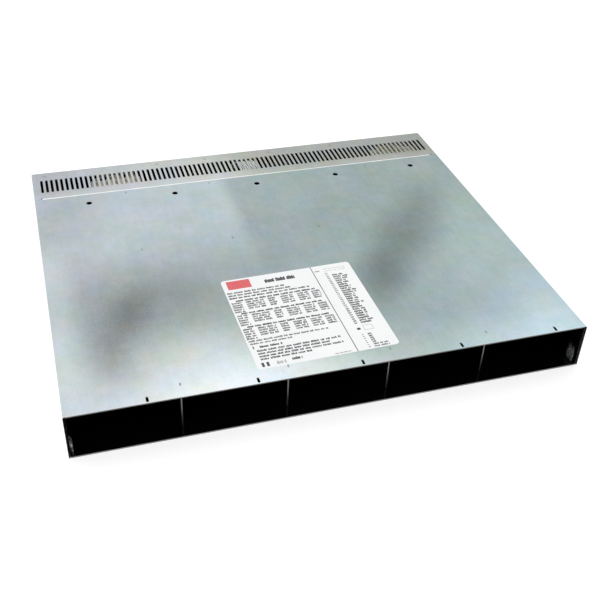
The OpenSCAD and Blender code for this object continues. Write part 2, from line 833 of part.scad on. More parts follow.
// A rail along the back of the board, with a leg to the rear of the body
module bus_bar(leg_x, z, rail_end) {
    rail_start = leg_x - output_w / 2;
    leg_end = part_d;
    difference() {
        union() {
            translate([rail_start, board_back, z]) cube([rail_end - rail_start, bar_t, rail_h]);
            translate([rail_start, board_back, z]) linear_extrude(bar_t) {
                square([output_w, leg_end - board_back - 3]);
                translate([0, leg_end - board_back - 8]) rounded(output_w, 8, 3);
            }
        }
        translate([leg_x, leg_end - output_hole_y, z - past])
            cylinder(h = bar_t + 2 * past, d = output_hole_d);
    }
}

module bus_bar_positive() {
    color("#c8c8c0") place() bus_bar(output_pos_x, rail_high_z, socket_mid(bays) + 20);
}

module bus_bar_negative() {
    color("#c8c8c0") place() bus_bar(output_neg_x, rail_low_z, socket_mid(bays) + 26);
}

// Insulating sleeve that takes an output bar through the rear panel
module bar_sleeve(leg_x, z) {
    color("#1a1c1e") place() translate([leg_x, body_d, z + bar_t / 2]) difference() {
        union() {
            run_y(-sleeve_len, sleeve_len) sleeve_outline(0);
            run_y(0, sleeve_rim) sleeve_outline(sleeve_rim);
        }
        run_y(-sleeve_len - past, sleeve_len + sleeve_rim + 2 * past)
            centred(output_w + 2 * panel_fit, bar_t + 2 * panel_fit);
    }
}

// ---- Terminal blocks and inner wires ----

way_pitch = block_len / block_ways;

// Folded channel on the film, with a table under the whole block
module terminal_bracket(x) {
    channel_w = 14;
    h = bracket_z - rear_floor;
    color("#aeb6b8") place() run_y(block_y + 2, block_d - 4) translate([x, rear_floor]) {
        translate([block_len - channel_w, 0]) difference() {
            square([channel_w, h]);
            translate([bracket_t, bracket_t]) square([channel_w - 2 * bracket_t, h]);
        }
        translate([0, h - bracket_t]) square([block_len, bracket_t]);
    }
}

// Closed moulding with a round well over each screw and an entry for each wire
module terminal_block(x) {
    entry_w = 5;
    entry_h = 7.2;
    color("#d8cfae") place() translate([x, block_y, bracket_z]) difference() {
        cube([block_len, block_d, block_h]);
        for (k = [0 : block_ways - 1], s = [0, 1])
            translate([(k + 0.5) * way_pitch - entry_w / 2,
                       s * (block_d / 2 + 2) - past * (1 - s), way_floor])
                cube([entry_w, block_d / 2 - 2 + past, entry_h]);
        for (k = [0 : block_ways - 1], y = [block_d / 4, 3 * block_d / 4])
            translate([(k + 0.5) * way_pitch, y, 1]) {
                cylinder(h = block_h, d = 3 + 2 * blade_gap);
                translate([0, 0, way_floor - 1]) cylinder(h = block_h, d = well_d);
            }
    }
}

// Floor of a block's ways, and top of the screws that stand in them
way_floor = 5;
screw_top = way_floor + 0.3 + 2;

module terminal_screws(x) {
    color("#c9cac6") place() for (k = [0 : block_ways - 1], y = [block_d / 4, 3 * block_d / 4])
        translate([x + (k + 0.5) * way_pitch, block_y + y, bracket_z]) {
            translate([0, 0, 1.2]) cylinder(h = screw_top - 2, d = 3);
            translate([0, 0, screw_top - 2]) difference() {
                cylinder(h = 2, d = 6);
                translate([-3.5, -0.4, 1]) cube([7, 0.8, 2]);
            }
        }
}

wire_sides = 8;

// Point at share t of a cubic curve through a start, two handles and an end
function bezier(p, t) =
    pow(1 - t, 3) * p[0] + 3 * t * pow(1 - t, 2) * p[1]
    + 3 * t * t * (1 - t) * p[2] + t * t * t * p[3];
function unit(v) = v / norm(v);
function wire_frame(d) =
    let (side = unit(cross(d, abs(d[2]) > 0.9 ? [1, 0, 0] : [0, 0, 1])))
    [side, cross(side, d)];

// Round wire swept along one cubic curve
module wire(p, d, rings = 12) {
    pts = [for (k = [0 : rings]) bezier(p, k / rings)];
    dirs = [for (k = [0 : rings])
        unit(pts[min(k + 1, rings)] - pts[max(k - 1, 0)])];
    polyhedron(
        points = [for (k = [0 : rings], a = [0 : wire_sides - 1])
            let (f = wire_frame(dirs[k]), q = 360 * a / wire_sides)
            pts[k] + d / 2 * (cos(q) * f[0] + sin(q) * f[1])],
        faces = concat(
            [[for (a = [0 : wire_sides - 1]) a]],
            [for (k = [0 : rings - 1], a = [0 : wire_sides - 1])
                let (b = (a + 1) % wire_sides)
                [k * wire_sides + a, (k + 1) * wire_sides + a,
                 (k + 1) * wire_sides + b, k * wire_sides + b]],
            [[for (a = [wire_sides - 1 : -1 : 0]) rings * wire_sides + a]]),
        convexity = 4);
}

// Wires from a terminal block's front row, over the upper rail to the backplane
module feed_wires(x) {
    d = feed_wire_d;
    start_z = bracket_z + screw_top + 0.3 + d / 2;
    over_z = rail_high_z + rail_h + 0.9 + d / 2;
    for (k = [0 : block_ways - 1]) {
        wx = x + (k + 0.5) * way_pitch;
        wire([[wx, block_y + block_d / 4 + 3, start_z], [wx, block_y - 4, start_z],
              [wx + 1, board_back + 8, over_z], [wx + 1, board_back + 0.3, over_z]], d);
    }
}

module feed_wires_left() {
    color("#d9d2bc") place() feed_wires(block_left_x);
}

module feed_wires_right() {
    color("#c9c9a8") place() feed_wires(block_right_left);
}

// Green and yellow earth leads that lie across the right block
module earth_wires() {
    d = feed_wire_d;
    z = bracket_z + block_h + 0.3 + d / 2;
    start_y = panel_y - panel_fold;
    color("#a9b43a") place() for (k = [0 : 2])
        wire([[block_right_left + 3 + 4 * k, start_y, z - block_h / 2],
              [block_right_left + 4 + 7 * k, start_y, z + 3.5],
              [block_right_left + 18 + 9 * k, block_y + 0.7 * block_d, z],
              [block_right_left + 12 + 11 * k, block_y + 4, z]], d);
}

// White leads from the backplane, high under the vents, to the signal sockets
module signal_wires() {
    d = signal_wire_d;
    over_z = rail_high_z + rail_h + 0.6 + d / 2;
    end_y = body_d - signal_insert_d - 1.2;
    color("#e4e6e4") place() for (k = [0 : 7])
        wire([[signal_x + 20.5 - 2.6 * k, board_back + 0.5, over_z],
              [signal_x + 19.5 - 2.6 * k, board_back + 0.5 * block_d, roof_z],
              [signal_x + 18 - 2.4 * k, panel_y - 0.35 * rear_cover_d, roof_z],
              [signal_x + 9 - 2.3 * k, end_y, signal_zs[1] + 1]], d);
}

// Black leads from the inlets' tabs, along the compartment to the blocks
module inlet_leads() {
    y = body_d - inlet_d - lug_len - 1;
    turn_y = y - 0.42 * (y - rail_back);
    reach = 8;
    color("#1c1d20") place() for (n = [0 : bays - 1]) {
        left = n < 2;
        to = left ? block_left_x + block_len + 0.3 : block_right_left - 0.3;
        from_z = inlet_z - blade_rise / 2;
        to_z = left ? 14 - 5 * n : 4 * n;
        from = inlet_xs[n] - blade_pitch / 2;
        wire([[from, y, from_z], [from, turn_y - 2, from_z],
              [to + (left ? reach : -reach), turn_y, to_z], [to, turn_y, to_z]],
             inlet_lead_d);
    }
}

// ---- Screws and label ----

module side_screws() {
    color("#a9adad") place() both_sides() for (y = concat(side_screw_ys, [rear_screw_y]))
        difference() {
            translate([0, y, screw_z]) rotate([0, 90, 0]) {
                cylinder(h = cover_t, d1 = screw_head_d, d2 = screw_d);
                cylinder(h = wall, d = screw_d);
            }
            translate([-past, y - 1.1, screw_z - 0.25]) cube([past + 0.4, 2.2, 0.5]);
            translate([-past, y - 0.25, screw_z - 1.1]) cube([past + 0.4, 0.5, 2.2]);
        }
}

module label() {
    color("#e9eceb") place() translate([label_x, label_y, body_h]) rotate(label_turn)
        linear_extrude(label_t) translate([-label_w / 2, -label_d / 2])
            rounded(label_w, label_d, label_r);
}

base_tray();
top_cover();
rear_cover();
rear_panel();
divider(1);  // divider_1
divider(2);  // divider_2
divider(3);  // divider_3
divider(4);  // divider_4
bay_film(1);  // bay_film_1
bay_film(2);  // bay_film_2
bay_film(3);  // bay_film_3
bay_film(4);  // bay_film_4
bay_film(5);  // bay_film_5
entry_guide_left();
entry_guide_right();
backplane();
backplane_angle();
backplane_screws();
bay_connector(1);  // bay_connector_1
bay_connector(2);  // bay_connector_2
bay_connector(3);  // bay_connector_3
bay_connector(4);  // bay_connector_4
bay_connector(5);  // bay_connector_5
bay_guide_pins();
bus_bar_positive();
bus_bar_negative();
bar_sleeve(output_pos_x, rail_high_z);  // bar_sleeve_positive
bar_sleeve(output_neg_x, rail_low_z);  // bar_sleeve_negative
ac_inlet(1);  // ac_inlet_1
ac_inlet(2);  // ac_inlet_2
ac_inlet(3);  // ac_inlet_3
ac_inlet(4);  // ac_inlet_4
ac_inlet(5);  // ac_inlet_5
inlet_blades();
signal_shells();
signal_inserts();
signal_jackscrews();
earth_stud();
earth_nut();
rear_film();
terminal_bracket(block_left_x);  // terminal_bracket_left
terminal_block(block_left_x);  // terminal_block_left
terminal_screws(block_left_x);  // terminal_screws_left
terminal_bracket(block_right_left);  // terminal_bracket_right
terminal_block(block_right_left);  // terminal_block_right
terminal_screws(block_right_left);  // terminal_screws_right
feed_wires_left();
feed_wires_right();
earth_wires();
signal_wires();
inlet_leads();
side_screws();
label();
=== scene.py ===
"""Looks of the rack power shelf: zinc sheet, black bay linings, a printed label and inner wires."""
import json
import math

import bpy
import numpy as np
from mathutils import Matrix, Vector


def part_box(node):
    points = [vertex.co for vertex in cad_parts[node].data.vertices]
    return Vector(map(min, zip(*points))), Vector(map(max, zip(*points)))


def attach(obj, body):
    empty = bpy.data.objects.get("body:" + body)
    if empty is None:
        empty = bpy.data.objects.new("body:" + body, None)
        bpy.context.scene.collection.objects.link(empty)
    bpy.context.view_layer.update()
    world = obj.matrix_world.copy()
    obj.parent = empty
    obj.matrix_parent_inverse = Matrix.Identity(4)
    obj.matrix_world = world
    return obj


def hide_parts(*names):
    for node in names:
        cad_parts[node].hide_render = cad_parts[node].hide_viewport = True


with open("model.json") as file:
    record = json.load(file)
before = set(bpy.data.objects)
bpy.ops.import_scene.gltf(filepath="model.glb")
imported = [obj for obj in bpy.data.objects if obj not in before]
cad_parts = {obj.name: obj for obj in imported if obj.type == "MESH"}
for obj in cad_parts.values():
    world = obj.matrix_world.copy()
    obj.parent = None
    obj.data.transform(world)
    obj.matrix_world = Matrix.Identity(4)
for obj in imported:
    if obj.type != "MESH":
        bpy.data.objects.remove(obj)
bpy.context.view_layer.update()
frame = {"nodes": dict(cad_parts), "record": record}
nodes = frame["nodes"]
MM = 0.001
EYE_POWER = 2.2  # a tone raised to this power is the light that it stands for


# ---- Places taken from the frame ----

cover_low, cover_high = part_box("top_cover")
rear_low, rear_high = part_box("rear_cover")
label_low, label_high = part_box("label")
panel_low, panel_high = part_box("rear_panel")
tray_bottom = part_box("base_tray")[0].z
guide_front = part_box("entry_guide_right")[0].y
board_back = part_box("backplane")[1].y
rail_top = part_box("bus_bar_positive")[1].z
shelf_left, shelf_front, shelf_top = cover_low.x, cover_low.y, cover_high.z


# ---- Node tools ----

def new_finish(name, metallic=0.0, roughness=0.5, colour=(0.5, 0.5, 0.5), **sockets):
    """A material with one Principled shader. Returns the material, its tree and the shader."""
    finish = bpy.data.materials.new(name)
    finish.use_nodes = True
    tree = finish.node_tree
    shader = tree.nodes["Principled BSDF"]
    shader.inputs["Metallic"].default_value = metallic
    shader.inputs["Roughness"].default_value = roughness
    shader.inputs["Base Color"].default_value = (*colour, 1)
    for socket, value in sockets.items():
        shader.inputs[socket.replace("_", " ")].default_value = value
    finish.diffuse_color = (*colour, 1)
    return finish, tree, shader


def wire_up(tree, socket, value):
    """Links a socket to another, or sets it to a plain value."""
    if isinstance(value, bpy.types.NodeSocket):
        tree.links.new(value, socket)
    else:
        socket.default_value = value


def worked_out(tree, kind, first, second=0.0):
    """One Math node. Its kind is a name such as POWER or ABSOLUTE."""
    node = tree.nodes.new("ShaderNodeMath")
    node.operation = kind
    wire_up(tree, node.inputs[0], first)
    wire_up(tree, node.inputs[1], second)
    return node.outputs[0]


def total(tree, first, *others):
    """The sum of all the values."""
    for other in others:
        first = worked_out(tree, "ADD", first, other)
    return first


def product(tree, first, *others):
    """All the values multiplied."""
    for other in others:
        first = worked_out(tree, "MULTIPLY", first, other)
    return first


def place_on_shelf(tree):
    """Object coordinates, which are places in the shelf's own frame."""
    return tree.nodes.new("ShaderNodeTexCoord").outputs["Object"]


def part_of(tree, point, axis):
    """The part of a point along the axis X, Y or Z."""
    node = tree.nodes.new("ShaderNodeSeparateXYZ")
    tree.links.new(point, node.inputs[0])
    return node.outputs[axis]


def step_between(tree, value, start, end, low=0.0, high=1.0, smooth=True):
    """Goes from low at start to high at end and stays there, smoothly or in a straight line."""
    node = tree.nodes.new("ShaderNodeMapRange")
    node.interpolation_type = "SMOOTHSTEP" if smooth else "LINEAR"
    wire_up(tree, node.inputs["Value"], value)
    node.inputs["From Min"].default_value = start
    node.inputs["From Max"].default_value = end
    node.inputs["To Min"].default_value = low
    node.inputs["To Max"].default_value = high
    return node.outputs["Result"]


def oval_patch(tree, point, centre, reach, turn=0.0, core=0.0, strength=1.0):
    """Full strength inside core times the oval's reach, and nothing outside the oval.

    The oval is centred on a place of the cover, counted in mm from its left front corner."""
    mapping = tree.nodes.new("ShaderNodeMapping")
    mapping.vector_type = "TEXTURE"
    mapping.inputs["Location"].default_value = (
        shelf_left + centre[0] * MM, shelf_front + centre[1] * MM, shelf_top)
    mapping.inputs["Rotation"].default_value = (0, 0, math.radians(turn))
    mapping.inputs["Scale"].default_value = (reach[0] * MM, reach[1] * MM, 1)
    tree.links.new(point, mapping.inputs["Vector"])
    length = tree.nodes.new("ShaderNodeVectorMath")
    length.operation = "LENGTH"
    tree.links.new(mapping.outputs[0], length.inputs[0])
    return step_between(tree, length.outputs["Value"], core, 1.0, strength, 0.0)


def cloud(tree, point, scale, detail=3.0, roughness=0.5, stretch=(1, 1, 1), shift=0.0):
    """Noise from 0 to 1, about 0.5, with scale given as clouds per metre."""
    mapping = tree.nodes.new("ShaderNodeMapping")
    mapping.inputs["Location"].default_value = (shift, shift, shift)
    mapping.inputs["Scale"].default_value = stretch
    tree.links.new(point, mapping.inputs["Vector"])
    node = tree.nodes.new("ShaderNodeTexNoise")
    node.inputs["Scale"].default_value = scale
    node.inputs["Detail"].default_value = detail
    node.inputs["Roughness"].default_value = roughness
    tree.links.new(mapping.outputs[0], node.inputs["Vector"])
    return node.outputs[0]


def drifting(tree, point, scale, low, high, detail=3.0, roughness=0.5, shift=0.0):
    """A value that wanders from low to high in clouds. Most of the noise lies from 0.3 to 0.7."""
    noise = cloud(tree, point, scale, detail, roughness, shift=shift)
    return step_between(tree, noise, 0.3, 0.7, low, high)


def specks(tree, point, scale, detail, roughness, stretch=(1, 1, 1), shift=0.0):
    """The same noise, lowered by its mean of a half, so that it stands about 0."""
    noise = cloud(tree, point, scale, detail, roughness, stretch, shift)
    return worked_out(tree, "SUBTRACT", noise, 0.5)


def ripple(tree, shader, height, distance, strength=1.0):
    """Bump from a height, with distance in metres."""
    node = tree.nodes.new("ShaderNodeBump")
    node.inputs["Strength"].default_value = strength
    node.inputs["Distance"].default_value = distance
    tree.links.new(height, node.inputs["Height"])
    tree.links.new(node.outputs[0], shader.inputs["Normal"])


def colour_of(tree, tone, red, green, blue):
    """Turns a tone as the eye sees it, 0 to 1, into a colour with the three tints."""
    light = worked_out(tree, "POWER", tone, EYE_POWER)
    node = tree.nodes.new("ShaderNodeCombineColor")
    for socket, tint in zip(node.inputs, (red, green, blue)):
        tree.links.new(product(tree, light, tint), socket)
    return node.outputs[0]


def blend_of(tree, share, first, second):
    """Mixes two colours by a share."""
    node = tree.nodes.new("ShaderNodeMix")
    node.data_type = "RGBA"
    wire_up(tree, node.inputs[0], share)
    for socket, value in ((node.inputs[6], first), (node.inputs[7], second)):
        wire_up(tree, socket, value if isinstance(value, bpy.types.NodeSocket) else (*value, 1))
    return node.outputs[2]


def facing(tree, direction, start=0.6, end=0.95):
    """1 where a face looks along the direction, and 0 where it looks across or away."""
    normal = tree.nodes.new("ShaderNodeNewGeometry").outputs["Normal"]
    node = tree.nodes.new("ShaderNodeVectorMath")
    node.operation = "DOT_PRODUCT"
    tree.links.new(normal, node.inputs[0])
    node.inputs[1].default_value = direction
    return step_between(tree, node.outputs["Value"], start, end)


def patches(tree, point, *ovals):
    """Sum of oval patches given as (centre, reach, turn, core, strength)."""
    return total(tree, *(oval_patch(tree, point, *oval) for oval in ovals))


# ---- Sheet metal ----

def zinc_grain(tree, point):
    """The fine salt-and-pepper grain of zinc plate over faint blotches, about 0 in the mean."""
    fine = specks(tree, point, 900, 2, 0.6)
    rolled = specks(tree, point, 260, 3, 0.55, stretch=(1, 0.12, 1), shift=3.1)
    blotch = specks(tree, point, 110, 2, 0.5, shift=5.9)
    return total(tree, product(tree, fine, 0.11), product(tree, rolled, 0.04),
                 product(tree, blotch, 0.05))


def faint_clouds(tree, point):
    """Slow clouds of tone on the plates away from the top."""
    return drifting(tree, point, 22, -0.035, 0.035, 4, 0.6)


def finish_zinc(tree, shader, point, tone, red, blue, roughness, edge, warm=0.0):
    """Grain, drifting tints, duller cut edges at the front and a soft uneven sheen.

    The tints red and blue are for faces that look up. Warm turns the front edges toward red."""
    tone = total(tree, tone, zinc_grain(tree, point))
    red = total(tree, drifting(tree, point, 42, -0.045, 0.045, 3, 0.65, 8.3), red)
    blue = total(tree, drifting(tree, point, 34, 0.07, -0.07, 3, 0.65, 1.7), blue)
    upward = facing(tree, (0, 0, 1), 0.3, 0.8)
    body = blend_of(tree, upward, colour_of(tree, tone, 0.93, 1.0, 1.0),
                    colour_of(tree, tone, red, 1.0, blue))
    rim = colour_of(tree, edge, 1.0, 1.0 - warm, 1.0 - 2 * warm)
    wire_up(tree, shader.inputs["Base Color"],
            blend_of(tree, facing(tree, (0, -1, 0)), body, rim))
    wire_up(tree, shader.inputs["Roughness"],
            drifting(tree, point, 45, roughness - 0.04, roughness + 0.05, 3, 0.5, 4.4))
    ripple(tree, shader, cloud(tree, point, 420, 2, 0.5), 0.00002, 0.35)
    return body


def sheet_ends(tree, x):
    """Tone of the front edges: dull over the bays, and nearly black at the two side walls, where this
    is a painted dark reflection.
    """
    from_middle = worked_out(tree, "ABSOLUTE", x)
    # Painted dark reflection: the front edges at the side walls are nearly black.
    wall = -shelf_left - 0.0020
    return step_between(tree, from_middle, wall - 0.0007, wall, 0.42, 0.04)


def zinc_top():
    """The top cover: clouded zinc with a painted bright reflection along the front, painted light at
    the left back, a painted dark reflection shaped as a smudge and a painted dark slanting band of
    reflection.
    """
    finish, tree, shader = new_finish("zinc_top", 1.0, 0.4, (0.45, 0.5, 0.51))
    point = place_on_shelf(tree)
    x, y = part_of(tree, point, "X"), part_of(tree, point, "Y")
    # Painted light: lit_side makes the left back of the top lighter, as the light falls.
    left = step_between(tree, x, shelf_left + 0.184, shelf_left + 0.206, 1, 0)
    back = step_between(tree, y, shelf_front + 0.13, shelf_front + 0.24)
    lit_side = product(tree, left, back, 0.105)
    # Painted reflections: lighter ovals of the pale room, mostly along the front.
    bright = patches(
        tree, point,
        ((140, -15), (180, 130), 0, 0.05, 0.31),      # front, left of the middle
        ((400, -25), (190, 95), 0, 0.05, 0.19),       # front, right of the middle
        ((0, 30), (60, 105), 0, 0.0, 0.10),           # left front corner
        ((45, -12), (90, 40), 0, 0.0, 0.06),          # edge beside that corner
        ((440, 45), (66, 70), 0, 0.0, 0.07),          # right front corner
        ((4, 110), (32, 150), 0, 0.1, 0.12),          # left edge
        ((425, 125), (95, 150), -20, 0.3, 0.05))      # beyond the band
    # Painted dark reflections: a smudge on the left and a slanting band on the right.
    dull = patches(
        tree, point,
        ((63, 108), (34, 62), -25, 0.0, -0.112),      # painted dark reflection, a smudge on the left
        ((44, 58), (26, 44), 0, 0.0, -0.065),         # its tail toward the front
        ((88, 133), (88, 66), -15, 0.1, -0.05),       # its halo
        ((344, 174), (50, 130), -36, 0.0, -0.135),    # painted dark reflection in a slanting band
        ((298, 112), (38, 66), -22, 0.0, -0.12),      # its foot by the label
        ((388, 238), (42, 66), -25, 0.0, -0.04),      # its faint head
        ((15, 285), (70, 120), 0, 0.1, -0.045))       # left edge at the rear
    rough_parts = patches(
        tree, point,
        ((66, 110), (70, 84), -20, 0.3, 0.12),        # stronger grain where the painted dark smudge lies
        ((340, 160), (60, 120), -36, 0.2, 0.05))      # and in the band
    speck = specks(tree, point, 640, 2, 0.6, shift=2.6)
    tone = total(tree, 0.675, lit_side, bright, dull,
                 drifting(tree, point, 12, -0.02, 0.02, 3, 0.55),
                 product(tree, speck, rough_parts))
    warm_front = patches(tree, point, ((170, 10), (230, 90), 0, 0.0, 0.05))
    cool_right = patches(tree, point, ((420, 40), (190, 130), 0, 0.1, 0.11))
    grey_left = patches(tree, point, ((95, 75), (180, 160), 0, 0.1, -0.065))
    red_across = step_between(tree, x, shelf_left + 0.03, shelf_left + 0.33, 0.90, 0.805)
    blue_across = step_between(tree, x, shelf_left + 0.05, shelf_left + 0.40, 1.065, 0.97)
    red = total(tree, red_across, warm_front)
    blue = total(tree, blue_across, cool_right, grey_left)
    finish_zinc(tree, shader, point, tone, red, blue, 0.40, sheet_ends(tree, x), 0.05)
    return finish


def zinc_rear():
    """The rear cover: a greyer strip, painted lighter on the left, with a painted highlight on the
    fold at the seam and five tarnished weld spots.
    """
    finish, tree, shader = new_finish("zinc_rear", 1.0, 0.42, (0.42, 0.46, 0.46))
    point = place_on_shelf(tree)
    x, y = part_of(tree, point, "X"), part_of(tree, point, "Y")
    # Painted light: the left part of the strip is lighter, as the light falls.
    painted_light_left = step_between(tree, x, shelf_left + 0.17, shelf_left + 0.32, 0.085, 0.0)
    by_the_seam = step_between(tree, y, rear_low.y + 0.004, rear_low.y + 0.014, 0.03, 0.0)
    uneven = patches(
        tree, point,
        ((20, 350), (60, 80), 0, 0.0, -0.02),         # left end
        ((80, 350), (80, 60), 0, 0.0, 0.035),         # beside it
        ((165, 350), (110, 60), 0, 0.0, 0.05),        # left of the middle
        ((335, 350), (75, 60), 0, 0.0, 0.035))        # right of the middle
    tone = total(tree, 0.655, painted_light_left, uneven, by_the_seam,
                 drifting(tree, point, 14, -0.015, 0.015, 3, 0.55))
    blue = step_between(tree, x, shelf_left + 0.03, shelf_left + 0.28, 1.06, 0.93)
    body = finish_zinc(tree, shader, point, tone, 0.945, blue, 0.42, 0.95)
    weld_line = 373
    spots = patches(tree, point, *(((weld, weld_line), (3.0, 2.4), 0, 0.2, 0.5)
                                   for weld in (13, 133, 186, 259, 332)))
    tarnished = blend_of(tree, spots, body, (0.22, 0.19, 0.165))
    # Painted highlight: the fold at the seam faces the front and is painted pale. The painted
    # highlight is stronger in some places than in others.
    uneven_highlight = drifting(tree, point, 60, 0.65, 1.0, 3, 0.6)
    lit_fold = product(tree, facing(tree, (0, -1, 0), 0.08, 0.35), uneven_highlight)
    wire_up(tree, shader.inputs["Base Color"],
            blend_of(tree, lit_fold, tarnished, (0.92, 0.92, 0.90)))
    return finish


def zinc_plain(name, tone, roughness, edge):
    """Zinc plate away from the top: even, with faint clouds."""
    finish, tree, shader = new_finish(name, 1.0, roughness, (tone ** EYE_POWER,) * 3)
    point = place_on_shelf(tree)
    clouded = total(tree, tone, faint_clouds(tree, point))
    finish_zinc(tree, shader, point, clouded, 0.90, 0.99, roughness, edge)
    return finish


def zinc_tray():
    """The tray: as the plain plate. Its floor's front edge is duller and its walls' nearly black, a
    painted dark reflection.
    """
    finish, tree, shader = new_finish("zinc_tray", 1.0, 0.38, (0.46, 0.46, 0.46))
    point = place_on_shelf(tree)
    height = part_of(tree, point, "Z")
    # Painted dark reflection: the front edges of the walls are nearly black. The floor's front edge is
    # a duller grey.
    floor_edge = step_between(tree, height, tray_bottom + 0.0010, tray_bottom + 0.0014, 0.60, 0.03)
    clouded = total(tree, 0.70, faint_clouds(tree, point))
    finish_zinc(tree, shader, point, clouded, 0.90, 0.99, 0.38, floor_edge)
    return finish


def zinc_divider():
    """The dividers: plain plate whose front edges fade toward the floor, a painted shade for light
    that falls from above.
    """
    finish, tree, shader = new_finish("zinc_divider", 1.0, 0.42, (0.35, 0.35, 0.35))
    point = place_on_shelf(tree)
    # Painted shade: the front edges are darker low down and lighter near the top.
    edge = step_between(tree, part_of(tree, point, "Z"), 0.001, 0.024, 0.30, 0.47)
    clouded = total(tree, 0.62, faint_clouds(tree, point))
    finish_zinc(tree, shader, point, clouded, 0.90, 0.99, 0.42, edge)
    return finish


def scuffed_guide():
    """Small formed guides, dark at their sides and scuffed bright where the modules meet them."""
    finish, tree, shader = new_finish("scuffed_guide", 0.8, 0.4, (0.3, 0.3, 0.3))
    point = place_on_shelf(tree)
    y, z = part_of(tree, point, "Y"), part_of(tree, point, "Z")
    scuff = step_between(tree, cloud(tree, point, 520, 4, 0.65, (1, 1, 0.5)), 0.36, 0.62)
    low = step_between(tree, z, 0.010, 0.018, 1.0, 0.0)
    near = step_between(tree, y, guide_front + 0.004, guide_front + 0.011, 1.0, 0.0)
    rubbed = product(tree, scuff, low, near)
    bright = blend_of(tree, scuff, (0.05, 0.06, 0.065), (0.72, 0.76, 0.78))
    side = blend_of(tree, rubbed, (0.012, 0.013, 0.015), (0.86, 0.90, 0.90))
    wire_up(tree, shader.inputs["Base Color"],
            blend_of(tree, facing(tree, (0, -1, 0), 0.3, 0.8), side, bright))
    return finish


def plain_metal(name, tint, roughness, grain=0.05):
    """Tin, brass or steel with a little uneven tarnish."""
    finish, tree, shader = new_finish(name, 1.0, roughness, tint)
    point = place_on_shelf(tree)
    tarnish = step_between(tree, cloud(tree, point, 160, 4, 0.6), 0.35, 0.75)
    darker = tuple(c * (1 - 4 * grain) for c in tint)
    wire_up(tree, shader.inputs["Base Color"], blend_of(tree, tarnish, tint, darker))
    wire_up(tree, shader.inputs["Roughness"],
            step_between(tree, tarnish, 0, 1, roughness - 0.05, roughness + 0.1))
    ripple(tree, shader, cloud(tree, point, 1400, 2, 0.5), 0.00001, 0.3)
    return finish


# ---- Mouldings, film, board and wires ----

def moulded(name, tint, roughness, speck=0.15, sheen=0.5):
    """Moulded plastic with a fine eroded texture and a slow change of gloss."""
    finish, tree, shader = new_finish(name, 0.0, roughness, tint, Specular_IOR_Level=sheen)
    point = place_on_shelf(tree)
    mottle = step_between(tree, cloud(tree, point, 120, 4, 0.6), 0.3, 0.75)
    darker = tuple(c * (1 - speck) for c in tint)
    wire_up(tree, shader.inputs["Base Color"], blend_of(tree, mottle, tint, darker))
    wire_up(tree, shader.inputs["Roughness"],
            drifting(tree, point, 70, roughness - 0.06, roughness + 0.06, 2))
    ripple(tree, shader, cloud(tree, point, 2600, 2, 0.5), 0.00002, 0.4)
    return finish


def painted_shade_film():
    """Black film put in the bays as painted shade, very slightly wavy, with a gloss except on faces
    toward the front.
    """
    finish, tree, shader = new_finish("black_film", 0.0, 0.14, (0.001, 0.001, 0.0012))
    point = place_on_shelf(tree)
    dust = step_between(tree, cloud(tree, point, 500, 3, 0.7), 0.62, 0.8)
    wire_up(tree, shader.inputs["Base Color"],
            blend_of(tree, dust, (0.0008, 0.0009, 0.0012), (0.004, 0.0042, 0.005)))
    wire_up(tree, shader.inputs["Roughness"],
            drifting(tree, point, 30, 0.10, 0.18, 2))
    wire_up(tree, shader.inputs["Specular IOR Level"],
            step_between(tree, facing(tree, (0, -1, 0)), 0, 1, 0.5, 0.0))
    ripple(tree, shader, cloud(tree, point, 25, 2, 0.5), 0.0003, 0.2)
    return finish


def circuit_board():
    """Dark green lacquer over faint copper fields."""
    finish, tree, shader = new_finish("board", 0.0, 0.3, (0.01, 0.03, 0.02))
    point = place_on_shelf(tree)
    cells = tree.nodes.new("ShaderNodeTexVoronoi")
    cells.distance = "CHEBYCHEV"
    cells.inputs["Scale"].default_value = 90
    tree.links.new(point, cells.inputs["Vector"])
    field = step_between(tree, cells.outputs["Distance"], 0.3, 0.34, smooth=False)
    wire_up(tree, shader.inputs["Base Color"],
            blend_of(tree, field, (0.012, 0.045, 0.028), (0.006, 0.022, 0.014)))
    ripple(tree, shader, field, 0.00004, 0.5)
    return finish


def insulated(name, tint, sheen=0.5):
    """Soft plastic insulation with a slight change of colour along the wires."""
    finish, tree, shader = new_finish(name, 0.0, 0.38, tint, Specular_IOR_Level=sheen)
    point = place_on_shelf(tree)
    along = drifting(tree, point, 200, 0, 1, 3, 0.6)
    wire_up(tree, shader.inputs["Base Color"],
            blend_of(tree, along, tint, tuple(c * 0.82 for c in tint)))
    ripple(tree, shader, cloud(tree, point, 900, 2, 0.5), 0.00003, 0.4)
    return finish


def earth_insulation():
    """Green insulation with yellow stripes that wind along the wire."""
    finish, tree, shader = new_finish("earth_wire", 0.0, 0.38, (0.3, 0.4, 0.05))
    winding = tree.nodes.new("ShaderNodeAttribute")
    winding.attribute_name = "winding"
    wave = worked_out(tree, "SINE", winding.outputs["Fac"])
    stripe = step_between(tree, wave, -0.15, 0.15)
    wire_up(tree, shader.inputs["Base Color"],
            blend_of(tree, stripe, (0.16, 0.30, 0.14), (0.66, 0.60, 0.24)))
    point = place_on_shelf(tree)
    ripple(tree, shader, cloud(tree, point, 900, 2, 0.5), 0.00003, 0.4)
    return finish


def label_vinyl():
    """White satin label vinyl, a little uneven."""
    finish, tree, shader = new_finish("label_film", 0.0, 0.42, (0.92, 0.93, 0.93))
    point = place_on_shelf(tree)
    uneven = drifting(tree, point, 30, 0, 1)
    wire_up(tree, shader.inputs["Base Color"],
            blend_of(tree, uneven, (0.93, 0.935, 0.94), (0.90, 0.91, 0.915)))
    ripple(tree, shader, cloud(tree, point, 300, 2, 0.5), 0.00002, 0.3)
    return finish


